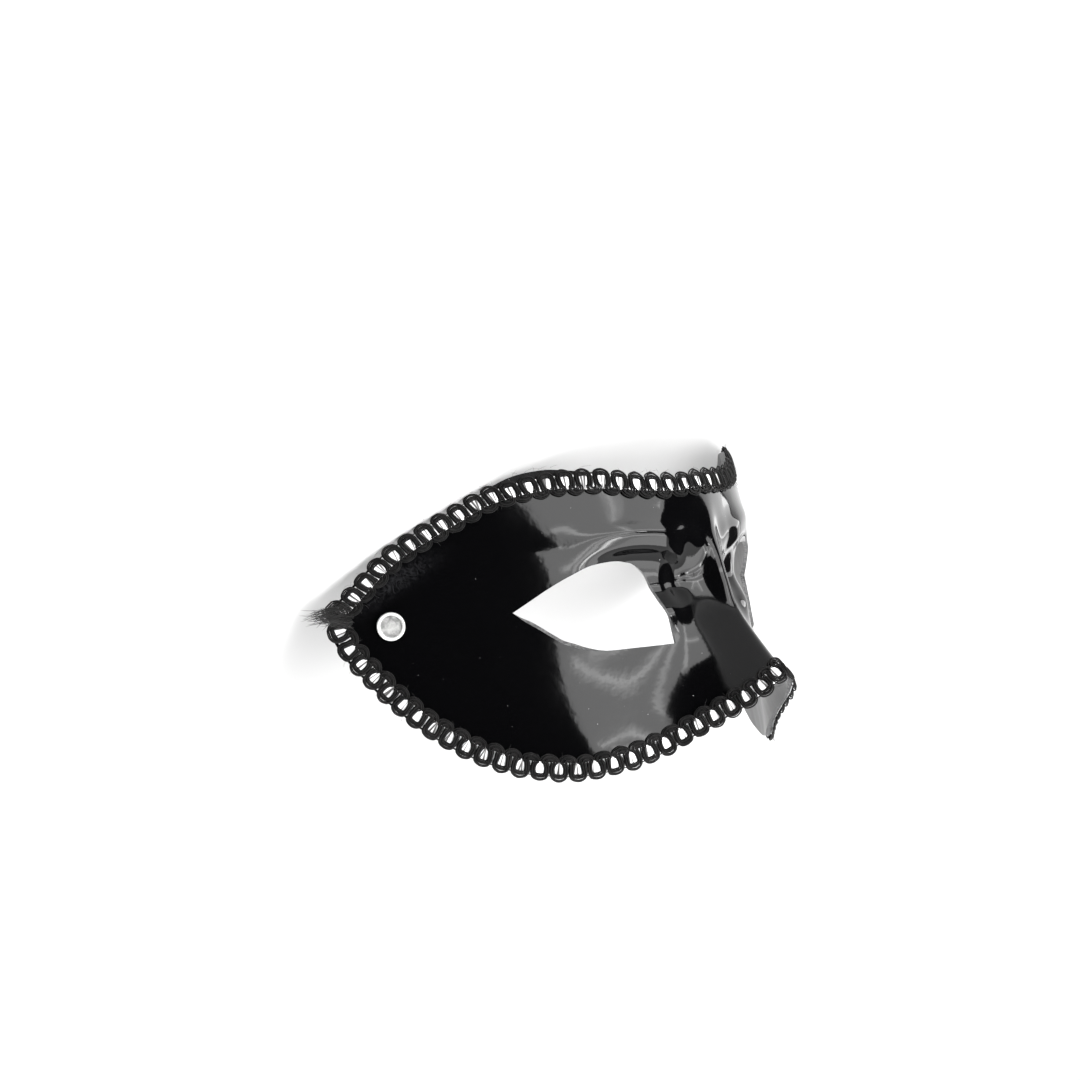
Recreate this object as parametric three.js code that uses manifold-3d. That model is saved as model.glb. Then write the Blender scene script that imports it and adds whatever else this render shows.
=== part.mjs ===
// Half face party mask: a moulded glossy shell with recessed eye sockets, a corded braid along
// both edges and a rivet at each temple. Millimetres, +Z up, nose towards -Y.
// It is shaped with +Z towards the nose and +Y towards the brow, then leant back on its brow edge.
import * as THREE from 'three';
import { mergeVertices } from 'three/addons/utils/BufferGeometryUtils.js';
import Module from 'manifold-3d';

// Whole mask
const HALF_WIDTH = 85.7;
const BROW_RISE = 36.9;
const CHEEK_DROP = 44.5;
const FACE_DEPTH = 65;
const WRAP_POWER = 1.7;
const WRAP_SOFTNESS = 0.004;
const NOSE_RISE = 30;
const NOSE_HALF_WIDTH = 8;
const CHEEK_BULGE = 3.5;
const BRIDGE_DROP = 4;
const BRIDGE_HALF_WIDTH = 3;
const BRIDGE_Y = 5;
const BRIDGE_SPREAD = 12;
const WALL = 1.3;
const REST_TILT_DEG = 49.6;

// Eye holes and the sockets round them
const EYE_INNER_X = 17.7;
const EYE_LENGTH = 35.4;
const EYE_HEIGHT = 23;
const EYE_LOW_Y = -11.2;
const SOCKET_DEPTH = 3.8;
const SOCKET_SLOPE = 2.2;
const CREASE_ROLL = 0.45;
const ORBIT_RISE = 1;
const ORBIT_SPREAD = 3;

// Braid and the ribbon under its bars
const BRAID_WIDTH = 6.4;
const BRAID_INSET = 0.4;
const BRAID_PITCH = 4.95;
const BRAID_HEIGHT = 2.2;
const RAIL_WIDTH = 1.8;
const BAR_WIDTH = 1.6;
const BAR_THICK = 0.7;
const SCALLOP = 0.7;
const RIBBON_THICK = 0.4;
const TIP_SPACE = 1.6;

// Rivets
const RIVET_INSET = 10.5;
const RIVET_Y = -2.2;
const RIVET_HEAD_RADIUS = 3.75;
const RIVET_RING_HEIGHT = 1.2;
const RIVET_DISC_DROP = 0.8;
const RIVET_SHANK_RADIUS = 1.4;
const RIVET_COLLAR_RADIUS = 3.2;
const RIVET_COLLAR_THICK = 0.8;

// Clearance between touching pieces
const GAP = 0.3;

// Face sections from chin to brow. Depth, sag and ridge are shares of the face depth, face depth
// and nose rise, and spread is a share of the nose half width.
const SECTION_STEP = (BROW_RISE + CHEEK_DROP) * 0.1843;
const SECTIONS = [
  { step: -4, depth: 0.954, sag: 0.972, ridge: 1.267, spread: 1.25 },
  { step: -3, depth: 1.008, sag: 0.972, ridge: 1.217, spread: 1.17 },
  { step: -2, depth: 1.015, sag: 0.983, ridge: 1.0, spread: 1.07 },
  { step: -1, depth: 1.008, sag: 0.983, ridge: 0.5, spread: 0.95 },
  { step: 0, depth: 0.997, sag: 0.983, ridge: 0.1, spread: 0.88 },
  { step: 1, depth: 1.0, sag: 0.994, ridge: -0.033, spread: 1.0 },
  { step: 2, depth: 0.948, sag: 1.051, ridge: 0, spread: 1.25 },
  { step: 3, depth: 0.838, sag: 1.13, ridge: 0, spread: 1.5 },
  { step: 4, depth: 0.7, sag: 1.198, ridge: 0, spread: 1.5 },
];

// Upper edge: out is a share of the half width, up a share of the brow rise
const UPPER_EDGE = [
  { out: 0, up: 0.921 },
  { out: 0.12, up: 0.912 },
  { out: 0.24, up: 0.931 },
  { out: 0.34, up: 0.977 },
  { out: 0.43, up: 1 },
  { out: 0.52, up: 0.974 },
  { out: 0.62, up: 0.886 },
  { out: 0.72, up: 0.747 },
  { out: 0.82, up: 0.585 },
  { out: 0.88, up: 0.464 },
  { out: 0.935, up: 0.296 },
  { out: 0.98, up: 0.14 },
  { out: 1, up: 0.081 },
];

// Lower edge: out is a share of the half width, up a share of the cheek drop
const LOWER_EDGE = [
  { out: 0, up: -0.466 },
  { out: 0.04, up: -0.507 },
  { out: 0.1, up: -0.61 },
  { out: 0.2, up: -0.775 },
  { out: 0.3, up: -0.9 },
  { out: 0.4, up: -0.968 },
  { out: 0.51, up: -1 },
  { out: 0.6, up: -0.978 },
  { out: 0.7, up: -0.898 },
  { out: 0.8, up: -0.745 },
  { out: 0.88, up: -0.556 },
  { out: 0.94, up: -0.365 },
  { out: 0.98, up: -0.205 },
  { out: 1, up: -0.068 },
];

// Eye hole from its nose corner out along the lid and back along the lower edge:
// along is a share of the eye length, up a share of the eye height
const EYE_LID = [
  { along: 0, up: 0.03 },
  { along: 0.006, up: 0.295 },
  { along: 0.023, up: 0.48 },
  { along: 0.04, up: 0.64 },
  { along: 0.082, up: 0.81 },
  { along: 0.156, up: 0.93 },
  { along: 0.231, up: 0.98 },
  { along: 0.342, up: 1 },
  { along: 0.52, up: 0.97 },
  { along: 0.658, up: 0.87 },
  { along: 0.782, up: 0.75 },
  { along: 0.9, up: 0.61 },
  { along: 1, up: 0.485 },
];
const EYE_LOWER = [
  { along: 1, up: 0.485 },
  { along: 0.935, up: 0.38 },
  { along: 0.853, up: 0.275 },
  { along: 0.771, up: 0.165 },
  { along: 0.686, up: 0.075 },
  { along: 0.506, up: 0 },
  { along: 0.24, up: 0.01 },
  { along: 0.107, up: 0.02 },
  { along: 0, up: 0.03 },
];

// Socket oval, as shares of the eye length and height about the eye's nose corner
const SOCKET = { along: 0.212, up: 0.72, halfLength: 0.475, halfHeight: 0.419, power: 2.15 };
const SOCKET_X = EYE_INNER_X + SOCKET.along * EYE_LENGTH;
const SOCKET_Y = EYE_LOW_Y + SOCKET.up * EYE_HEIGHT;
const SOCKET_HALF_X = SOCKET.halfLength * EYE_LENGTH;
const SOCKET_HALF_Y = SOCKET.halfHeight * EYE_HEIGHT;

// Cheek bulge centre and spread, as shares of the half width and cheek drop
const CHEEK = { out: 0.467, up: -0.995, spreadX: 0.21, spreadY: 0.45 };

const up = new THREE.Vector3(0, 1, 0);
const wasm = await Module();
wasm.setup();

// Smooth curve through a short table, mirrored about the middle
function edgeCurve(rows, height) {
  const xs = rows.map((row) => row.out * HALF_WIDTH);
  const ys = rows.map((row) => row.up * height);
  const slopes = xs.map((x, i) => {
    if (i === 0) {
      return 0;
    }
    const before = (ys[i] - ys[i - 1]) / (xs[i] - xs[i - 1]);
    if (i === xs.length - 1) {
      return before;
    }
    const after = (ys[i + 1] - ys[i]) / (xs[i + 1] - xs[i]);
    return before * after <= 0 ? 0 : (2 * before * after) / (before + after);
  });
  return (x) => {
    const reach = Math.min(Math.abs(x), HALF_WIDTH);
    let i = 0;
    while (i < xs.length - 2 && reach > xs[i + 1]) {
      i += 1;
    }
    const step = xs[i + 1] - xs[i];
    const t = (reach - xs[i]) / step;
    const rest = 1 - t;
    return (
      ys[i] * (1 + 2 * t) * rest * rest +
      slopes[i] * step * t * rest * rest +
      ys[i + 1] * t * t * (3 - 2 * t) -
      slopes[i + 1] * step * t * t * rest
    );
  };
}
const upperEdge = edgeCurve(UPPER_EDGE, BROW_RISE);
const lowerEdge = edgeCurve(LOWER_EDGE, CHEEK_DROP);

// Value of one column of the face sections at a height, blended as a cubic spline
function sectionValue(y, column) {
  const place = y / SECTION_STEP - SECTIONS[0].step;
  const i = THREE.MathUtils.clamp(Math.floor(place), 1, SECTIONS.length - 3);
  const t = place - i;
  return (
    (SECTIONS[i - 1][column] * (1 - t) ** 3 +
      SECTIONS[i][column] * (3 * t ** 3 - 6 * t ** 2 + 4) +
      SECTIONS[i + 1][column] * (-3 * t ** 3 + 3 * t ** 2 + 3 * t + 1) +
      SECTIONS[i + 2][column] * t ** 3) /
    6
  );
}

// How far the shell has wrapped back at a share of the half width, 0 at the nose and 1 at the temple
function wrap(across) {
  const bowl = (share) => (share ** 2 + WRAP_SOFTNESS) ** (WRAP_POWER / 2);
  return (bowl(across) - bowl(0)) / (bowl(1) - bowl(0));
}

// Forward depth of the shell's outer surface
function faceDepth(x, y) {
  const across = x / HALF_WIDTH;
  const spread = sectionValue(y, 'spread') * NOSE_HALF_WIDTH;
  let depth = FACE_DEPTH * (sectionValue(y, 'depth') - sectionValue(y, 'sag') * wrap(across));
  depth += (NOSE_RISE * sectionValue(y, 'ridge')) / Math.cosh(x / spread);
  const cheekX = (Math.abs(across) - CHEEK.out) / CHEEK.spreadX;
  const cheekY = (y / CHEEK_DROP - CHEEK.up) / CHEEK.spreadY;
  depth += CHEEK_BULGE * Math.exp(-(cheekX ** 2) - cheekY ** 2);
  // The bridge is a narrow ridge, with the face sunk on both sides of it as far as the eyes
  const besideBridge = 1 - THREE.MathUtils.smoothstep(Math.abs(x), 3 * BRIDGE_HALF_WIDTH, EYE_INNER_X);
  const offRidge = 1 - Math.exp(-((x / BRIDGE_HALF_WIDTH) ** 2));
  const nearBridge = Math.exp(-(((y - BRIDGE_Y) / BRIDGE_SPREAD) ** 2));
  depth -= BRIDGE_DROP * besideBridge * offRidge * nearBridge;
  const socketX = Math.abs((Math.abs(x) - SOCKET_X) / SOCKET_HALF_X);
  const socketY = Math.abs((y - SOCKET_Y) / SOCKET_HALF_Y);
  const ring = (socketX ** SOCKET.power + socketY ** SOCKET.power) ** (1 / SOCKET.power);
  const past = (ring - 1) * SOCKET_HALF_Y;
  // The socket is crisp at the nose and brow, and dies out towards the temple and the cheek
  const outward = THREE.MathUtils.smoothstep(Math.abs(x), SOCKET_X, SOCKET_X + SOCKET_HALF_X);
  const downward = THREE.MathUtils.smoothstep(SOCKET_Y - y, 0, SOCKET_HALF_Y);
  const fade = (1 - outward) * (1 - downward);
  const inside = CREASE_ROLL * Math.log1p(Math.exp(Math.min(-past / CREASE_ROLL, 30)));
  depth -= SOCKET_DEPTH * fade * (1 - Math.exp(-inside / SOCKET_SLOPE));
  depth += ORBIT_RISE * fade * Math.exp(-((past / ORBIT_SPREAD - 1.5) ** 2));
  return depth;
}

function facePoint(x, y) {
  return new THREE.Vector3(x, y, faceDepth(x, y));
}

function faceNormal(x, y) {
  const d = 0.05;
  const alongX = facePoint(x + d, y).sub(facePoint(x - d, y));
  const alongY = facePoint(x, y + d).sub(facePoint(x, y - d));
  return alongX.cross(alongY).normalize();
}

// A closed mesh from points and corner lists, with its faces pointing out
function closedMesh(points, corners) {
  let volume = 0;
  for (let i = 0; i < corners.length; i += 3) {
    const [a, b, c] = [points[corners[i]], points[corners[i + 1]], points[corners[i + 2]]];
    volume += a.dot(b.clone().cross(c));
  }
  const faces = volume < 0 ? corners.slice().reverse() : corners;
  const geometry = new THREE.BufferGeometry().setFromPoints(points);
  geometry.setIndex(faces);
  return geometry;
}

function toSolid(source) {
  const bare = source.clone();
  bare.deleteAttribute('normal');
  bare.deleteAttribute('uv');
  const merged = mergeVertices(bare, 1e-4);
  const vertProperties = new Float32Array(merged.attributes.position.array);
  const triVerts = new Uint32Array(merged.index.array);
  return new wasm.Manifold(new wasm.Mesh({ numProp: 3, vertProperties, triVerts }));
}

function fromSolid(solid) {
  const mesh = solid.getMesh();
  const geometry = new THREE.BufferGeometry();
  geometry.setAttribute('position', new THREE.BufferAttribute(mesh.vertProperties, 3));
  geometry.setIndex(new THREE.BufferAttribute(mesh.triVerts, 1));
  return geometry;
}

// Columns across the shell, close at the nose and even along the curved panels
const NOSE_STEP = 2.6;
const PANEL_STEP = 5.2;
const SHELL_ROWS = 16;
function shellColumns() {
  const half = [0];
  while (half[half.length - 1] < HALF_WIDTH) {
    const x = half[half.length - 1];
    const slope = (2 * FACE_DEPTH * x) / HALF_WIDTH ** 2;
    const nose = 1 - THREE.MathUtils.smoothstep(x, 1.5 * NOSE_HALF_WIDTH, 3 * NOSE_HALF_WIDTH);
    const step = PANEL_STEP + (NOSE_STEP - PANEL_STEP) * nose;
    half.push(x + step / Math.hypot(1, slope));
  }
  const fit = HALF_WIDTH / half[half.length - 1];
  const right = half.map((x) => x * fit);
  const left = right.slice(1).map((x) => -x).reverse();
  return left.concat(right);
}

// Shell: an outer skin and an inner skin one wall behind it, closed along the edges
function shellBlank() {
  const columns = shellColumns();
  const outer = [];
  const inner = [];
  for (const x of columns) {
    for (let j = 0; j <= SHELL_ROWS; j += 1) {
      const y = THREE.MathUtils.lerp(lowerEdge(x), upperEdge(x), j / SHELL_ROWS);
      const point = facePoint(x, y);
      outer.push(point);
      inner.push(point.clone().addScaledVector(faceNormal(x, y), -WALL));
    }
  }
  const points = outer.concat(inner);
  const back = outer.length;
  const stride = SHELL_ROWS + 1;
  const corners = [];
  const quad = (a, b, c, d) => corners.push(a, b, c, a, c, d);
  for (let i = 0; i < columns.length - 1; i += 1) {
    for (let j = 0; j < SHELL_ROWS; j += 1) {
      const a = i * stride + j;
      quad(a, a + stride, a + stride + 1, a + 1);
      quad(back + a, back + a + 1, back + a + stride + 1, back + a + stride);
    }
    const low = i * stride;
    const high = low + SHELL_ROWS;
    quad(low, back + low, back + low + stride, low + stride);
    quad(high, high + stride, back + high + stride, back + high);
  }
  const last = (columns.length - 1) * stride;
  for (let j = 0; j < SHELL_ROWS; j += 1) {
    quad(j, j + 1, back + j + 1, back + j);
    quad(last + j, back + last + j, back + last + j + 1, last + j + 1);
  }
  return closedMesh(points, corners);
}

// Cutter for one eye hole, straight through from front to back
function eyeCutter(side) {
  const place = (row) =>
    new THREE.Vector2(
      side * (EYE_INNER_X + row.along * EYE_LENGTH),
      EYE_LOW_Y + row.up * EYE_HEIGHT,
    );
  const outline = new THREE.Shape();
  const start = place(EYE_LID[0]);
  outline.moveTo(start.x, start.y);
  outline.splineThru(EYE_LID.slice(1).map(place));
  outline.splineThru(EYE_LOWER.slice(1).map(place));
  const depth = 2 * FACE_DEPTH;
  return new THREE.ExtrudeGeometry(outline, { depth, bevelEnabled: false, curveSegments: 3 });
}

// Rivet: rolled ring round a sunk disc in front, shank through the shell, flat collar behind
function rivetGeometry() {
  const top = GAP + RIVET_RING_HEIGHT;
  const disc = top - RIVET_DISC_DROP;
  const ring = RIVET_HEAD_RADIUS * 0.28;
  const back = -WALL - GAP;
  const profile = [
    new THREE.Vector2(0, back - RIVET_COLLAR_THICK),
    new THREE.Vector2(RIVET_COLLAR_RADIUS, back - RIVET_COLLAR_THICK),
    new THREE.Vector2(RIVET_COLLAR_RADIUS, back),
    new THREE.Vector2(RIVET_SHANK_RADIUS, back),
    new THREE.Vector2(RIVET_SHANK_RADIUS, GAP),
    new THREE.Vector2(RIVET_HEAD_RADIUS, GAP),
    new THREE.Vector2(RIVET_HEAD_RADIUS, GAP + RIVET_RING_HEIGHT * 0.5),
    new THREE.Vector2(RIVET_HEAD_RADIUS - ring / 2, top),
    new THREE.Vector2(RIVET_HEAD_RADIUS - ring, disc),
    new THREE.Vector2(0, disc),
  ];
  return new THREE.LatheGeometry(profile, 20);
}

function rivetPlace(side) {
  const x = side * (HALF_WIDTH - RIVET_INSET);
  const position = facePoint(x, RIVET_Y);
  const normal = faceNormal(x, RIVET_Y);
  return { position, turn: new THREE.Quaternion().setFromUnitVectors(up, normal) };
}

function rivetCutter(side) {
  const radius = RIVET_SHANK_RADIUS + GAP;
  const cutter = new THREE.CylinderGeometry(radius, radius, 6 * WALL, 20);
  const { position, turn } = rivetPlace(side);
  cutter.applyQuaternion(turn);
  cutter.translate(position.x, position.y, position.z);
  return cutter;
}

function shellGeometry() {
  let solid = toSolid(shellBlank());
  for (const side of [-1, 1]) {
    solid = solid.subtract(toSolid(eyeCutter(side)));
    solid = solid.subtract(toSolid(rivetCutter(side)));
  }
  return fromSolid(solid);
}

// Path of one edge on the outer surface, from temple to temple, with the way in from the edge
function edgePath(edge, inwardSign) {
  const samples = 480;
  const flat = [new THREE.Vector2(-HALF_WIDTH, (-inwardSign * TIP_SPACE) / 2)];
  for (let i = 0; i <= samples; i += 1) {
    const turn = 0.98 * ((2 * i) / samples - 1);
    const x = (HALF_WIDTH * Math.sin(turn)) / Math.sin(0.98);
    flat.push(new THREE.Vector2(x, edge(x)));
  }
  flat.push(new THREE.Vector2(HALF_WIDTH, (-inwardSign * TIP_SPACE) / 2));
  const points = flat.map((p) => facePoint(p.x, p.y));
  const curve = new THREE.CatmullRomCurve3(points);
  curve.arcLengthDivisions = 4 * samples;
  const length = curve.getLength();
  const reach = 1.6 / length;
  const inwardAt = (share) => {
    const before = curve.getPointAt(Math.max(0, share - reach));
    const after = curve.getPointAt(Math.min(1, share + reach));
    const here = curve.getPointAt(share);
    const normal = faceNormal(here.x, here.y);
    return normal.cross(after.sub(before)).multiplyScalar(inwardSign).normalize();
  };
  const place = (share, inset, height) => {
    const flatPoint = curve.getPointAt(share).addScaledVector(inwardAt(share), inset);
    const normal = faceNormal(flatPoint.x, flatPoint.y);
    return facePoint(flatPoint.x, flatPoint.y).addScaledVector(normal, height);
  };
  const middle = [];
  for (let i = 0; i <= samples; i += 1) {
    middle.push(place(i / samples, BRAID_INSET + BRAID_WIDTH / 2, 0));
  }
  const run = [0];
  for (let i = 1; i <= samples; i += 1) {
    run.push(run[i - 1] + middle[i].distanceTo(middle[i - 1]));
  }
  const shareAt = (distance) => {
    let i = 1;
    while (i < samples && run[i] < distance) {
      i += 1;
    }
    return (i - 1 + (distance - run[i - 1]) / (run[i] - run[i - 1])) / samples;
  };
  return { place, shareAt, length: run[samples] };
}

// Braid: two scalloped rails joined by bars that bridge over the ribbon
function braidGeometry(path) {
  const count = Math.round(path.length / BRAID_PITCH);
  const pitch = path.length / count;
  const stations = [];
  for (let k = 0; k <= count; k += 1) {
    const start = Math.max(0, k * pitch - BAR_WIDTH / 2);
    const end = Math.min(path.length, k * pitch + BAR_WIDTH / 2);
    stations.push({ at: start, bar: true, opens: true });
    stations.push({ at: end, bar: true, opens: false });
    if (k < count) {
      stations.push({ at: (k + 0.5) * pitch, bar: false, opens: false });
    }
  }
  const points = [];
  for (const station of stations) {
    const share = path.shareAt(station.at);
    const add = (inset, height) => {
      points.push(path.place(share, BRAID_INSET + inset, GAP + height));
      return points.length - 1;
    };
    const underBar = RIBBON_THICK + GAP;
    const rail = (base, inward, pinch) => ({
      edge: add(base + inward * pinch, 0),
      crest: add(base + inward * RAIL_WIDTH * 0.55, BRAID_HEIGHT - pinch),
      top: add(base + inward * RAIL_WIDTH, underBar + BAR_THICK),
      under: station.bar ? add(base + inward * RAIL_WIDTH, underBar) : null,
      foot: add(base + inward * RAIL_WIDTH, 0),
    });
    station.outer = rail(0, 1, station.bar ? SCALLOP : 0);
    station.inner = rail(BRAID_WIDTH, -1, station.bar ? 0 : SCALLOP);
  }
  const corners = [];
  const quad = (a, b, c, d) => corners.push(a, b, c, a, c, d);
  const strip = (a, b, from, to) => quad(a[from], b[from], b[to], a[to]);
  for (let i = 0; i < stations.length - 1; i += 1) {
    const a = stations[i];
    const b = stations[i + 1];
    strip(a.outer, b.outer, 'edge', 'crest');
    strip(a.outer, b.outer, 'crest', 'top');
    strip(a.outer, b.outer, 'foot', 'edge');
    strip(a.inner, b.inner, 'edge', 'foot');
    strip(a.inner, b.inner, 'top', 'crest');
    strip(a.inner, b.inner, 'crest', 'edge');
    if (a.opens) {
      strip(a.outer, b.outer, 'under', 'foot');
      strip(a.inner, b.inner, 'foot', 'under');
      quad(a.outer.top, b.outer.top, b.inner.top, a.inner.top);
      quad(a.inner.under, b.inner.under, b.outer.under, a.outer.under);
      quad(a.outer.top, a.inner.top, a.inner.under, a.outer.under);
      quad(b.outer.top, b.outer.under, b.inner.under, b.inner.top);
    } else if (a.bar) {
      corners.push(a.outer.top, b.outer.top, b.outer.foot);
      corners.push(a.outer.top, b.outer.foot, a.outer.under);
      corners.push(a.outer.under, b.outer.foot, a.outer.foot);
      corners.push(a.inner.top, b.inner.foot, b.inner.top);
      corners.push(a.inner.top, a.inner.under, b.inner.foot);
      corners.push(a.inner.under, a.inner.foot, b.inner.foot);
    } else {
      corners.push(a.outer.foot, a.outer.top, b.outer.top);
      corners.push(a.outer.foot, b.outer.top, b.outer.under);
      corners.push(a.outer.foot, b.outer.under, b.outer.foot);
      corners.push(a.inner.foot, b.inner.top, a.inner.top);
      corners.push(a.inner.foot, b.inner.under, b.inner.top);
      corners.push(a.inner.foot, b.inner.foot, b.inner.under);
    }
  }
  const cap = (station, faceBack) => {
    const { outer, inner } = station;
    const faces = [
      [outer.edge, outer.crest, outer.top],
      [outer.edge, outer.top, outer.under],
      [outer.edge, outer.under, outer.foot],
      [inner.edge, inner.foot, inner.under],
      [inner.edge, inner.under, inner.top],
      [inner.edge, inner.top, inner.crest],
    ];
    for (const [a, b, c] of faces) {
      corners.push(a, faceBack ? b : c, faceBack ? c : b);
    }
  };
  cap(stations[0], true);
  cap(stations[stations.length - 1], false);
  return closedMesh(points, corners);
}

// Ribbon: a flat strip that runs between the rails and under the bars
function ribbonGeometry(path) {
  const insets = [RAIL_WIDTH + GAP, BRAID_WIDTH - RAIL_WIDTH - GAP];
  const longest = BRAID_PITCH;
  const sharpest = 0.16;
  const fine = 0.4;
  const stops = [0];
  const normalAt = (at) => {
    const share = path.shareAt(at);
    const middle = BRAID_INSET + BRAID_WIDTH / 2;
    return path.place(share, middle, 1).sub(path.place(share, middle, 0));
  };
  let heading = normalAt(0);
  for (let at = fine; at < path.length - fine; at += fine) {
    const normal = normalAt(at);
    if (at - stops[stops.length - 1] >= longest || heading.angleTo(normal) > sharpest) {
      stops.push(at);
      heading = normal;
    }
  }
  stops.push(path.length);
  const points = [];
  for (const at of stops) {
    const share = path.shareAt(at);
    points.push(path.place(share, BRAID_INSET + insets[0], GAP));
    points.push(path.place(share, BRAID_INSET + insets[0], GAP + RIBBON_THICK));
    points.push(path.place(share, BRAID_INSET + insets[1], GAP + RIBBON_THICK));
    points.push(path.place(share, BRAID_INSET + insets[1], GAP));
  }
  const corners = [];
  const quad = (a, b, c, d) => corners.push(a, b, c, a, c, d);
  for (let i = 0; i < stops.length - 1; i += 1) {
    for (let j = 0; j < 4; j += 1) {
      const next = (j + 1) % 4;
      quad(4 * i + j, 4 * i + 4 + j, 4 * i + 4 + next, 4 * i + next);
    }
  }
  quad(0, 1, 2, 3);
  const end = 4 * (stops.length - 1);
  quad(end, end + 3, end + 2, end + 1);
  return closedMesh(points, corners);
}

const plastic = new THREE.MeshStandardMaterial({ color: 0x0b0b0c, roughness: 0.12, metalness: 0 });
const cord = new THREE.MeshStandardMaterial({ color: 0x17171a, roughness: 0.45, metalness: 0 });
const foil = new THREE.MeshStandardMaterial({ color: 0xd8d8dc, roughness: 0.25, metalness: 1 });
const steel = new THREE.MeshStandardMaterial({ color: 0xb9b9b6, roughness: 0.3, metalness: 1 });

const mask = new THREE.Group();
function addPiece(name, geometry, material) {
  const piece = new THREE.Mesh(geometry, material);
  piece.name = name;
  mask.add(piece);
  return piece;
}

addPiece('mask_shell', shellGeometry(), plastic);

const upperPath = edgePath(upperEdge, -1);
addPiece('upper_braid', braidGeometry(upperPath), cord);
addPiece('upper_foil_ribbon', ribbonGeometry(upperPath), foil);

const lowerPath = edgePath(lowerEdge, 1);
addPiece('lower_braid', braidGeometry(lowerPath), cord);
addPiece('lower_foil_ribbon', ribbonGeometry(lowerPath), foil);

for (const [name, side] of [['rivet_left', 1], ['rivet_right', -1]]) {
  const rivet = addPiece(name, rivetGeometry(), steel);
  const { position, turn } = rivetPlace(side);
  rivet.position.copy(position);
  rivet.quaternion.copy(turn);
}

// Lean the mask back on its brow edge, nose towards -Y, lowest point on the floor
mask.rotation.x = -THREE.MathUtils.degToRad(REST_TILT_DEG);
const facing = new THREE.Group();
facing.rotation.z = Math.PI;
facing.add(mask);
facing.updateMatrixWorld(true);
const box = new THREE.Box3().setFromObject(facing, true);
facing.position.set(0, -(box.min.y + box.max.y) / 2, -box.min.z);

const group = new THREE.Group();
group.add(facing);

export default group;
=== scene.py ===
import math

import bmesh
import bpy
import numpy as np
from mathutils import Matrix, Vector


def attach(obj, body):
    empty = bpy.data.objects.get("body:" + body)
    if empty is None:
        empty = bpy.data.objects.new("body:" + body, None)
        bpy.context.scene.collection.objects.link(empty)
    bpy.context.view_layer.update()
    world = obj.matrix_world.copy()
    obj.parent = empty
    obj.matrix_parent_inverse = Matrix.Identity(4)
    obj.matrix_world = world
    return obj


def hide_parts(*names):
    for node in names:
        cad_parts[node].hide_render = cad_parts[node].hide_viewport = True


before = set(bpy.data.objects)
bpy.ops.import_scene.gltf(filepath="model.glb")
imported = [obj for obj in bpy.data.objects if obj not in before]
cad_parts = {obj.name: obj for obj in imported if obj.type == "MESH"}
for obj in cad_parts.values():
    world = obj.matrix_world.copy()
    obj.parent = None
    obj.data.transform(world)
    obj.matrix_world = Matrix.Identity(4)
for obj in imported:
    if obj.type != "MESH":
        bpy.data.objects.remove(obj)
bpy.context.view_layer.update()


# Mask shell
# One sheet of black plastic, formed hot over a mould: mirror gloss in front and satin behind.
# The eye holes are cut out of recessed sockets, and a small hole at each temple takes its rivet.
# Sizes are in millimetres, with x across, y up to the brow and z out to the nose.
half_width = 85.7
brow_rise = 36.9
cheek_drop = 44.5
face_depth = 65
wrap_power = 1.7
wrap_softness = 0.004
nose_rise = 30
nose_half_width = 8
cheek_bulge = 3.5
bridge_drop = 4
bridge_half_width = 3
bridge_foot = 3 * bridge_half_width
bridge_y = 5
bridge_spread = 12
wall = 1.3
rest_tilt = math.radians(49.6)
rest_shift = (0, 31.7075, 6.3248)

# The cheek's fullest place and how far it spreads: out over the half width, down over the cheek drop
cheek_place = (0.467, 0.995)
cheek_spread = (0.21, 0.45)

section_share = 0.1843
section_step = (brow_rise + cheek_drop) * section_share
# From chin to brow: step, depth, sag and ridge as shares of face depth, face depth and nose rise,
# and spread as a share of the nose half width
face_sections = np.array([
    (-4, 0.954, 0.972, 1.267, 1.25),
    (-3, 1.008, 0.972, 1.217, 1.17),
    (-2, 1.015, 0.983, 1.0, 1.07),
    (-1, 1.008, 0.983, 0.5, 0.95),
    (0, 0.997, 0.983, 0.1, 0.88),
    (1, 1.0, 0.994, -0.033, 1.0),
    (2, 0.948, 1.051, 0, 1.25),
    (3, 0.838, 1.13, 0, 1.5),
    (4, 0.7, 1.198, 0, 1.5),
])
# Out as a share of the half width, up as a share of the brow rise or the cheek drop
upper_rows = np.array([
    (0, 0.921), (0.12, 0.912), (0.24, 0.931), (0.34, 0.977), (0.43, 1), (0.52, 0.974),
    (0.62, 0.886), (0.72, 0.747), (0.82, 0.585), (0.88, 0.464), (0.935, 0.296), (0.98, 0.14),
    (1, 0.081),
])
lower_rows = np.array([
    (0, -0.466), (0.04, -0.507), (0.1, -0.61), (0.2, -0.775), (0.3, -0.9), (0.4, -0.968),
    (0.51, -1), (0.6, -0.978), (0.7, -0.898), (0.8, -0.745), (0.88, -0.556), (0.94, -0.365),
    (0.98, -0.205), (1, -0.068),
])

eye_inner_x = 17.7
eye_length = 35.4
eye_height = 23
eye_low_y = -11.2
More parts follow.
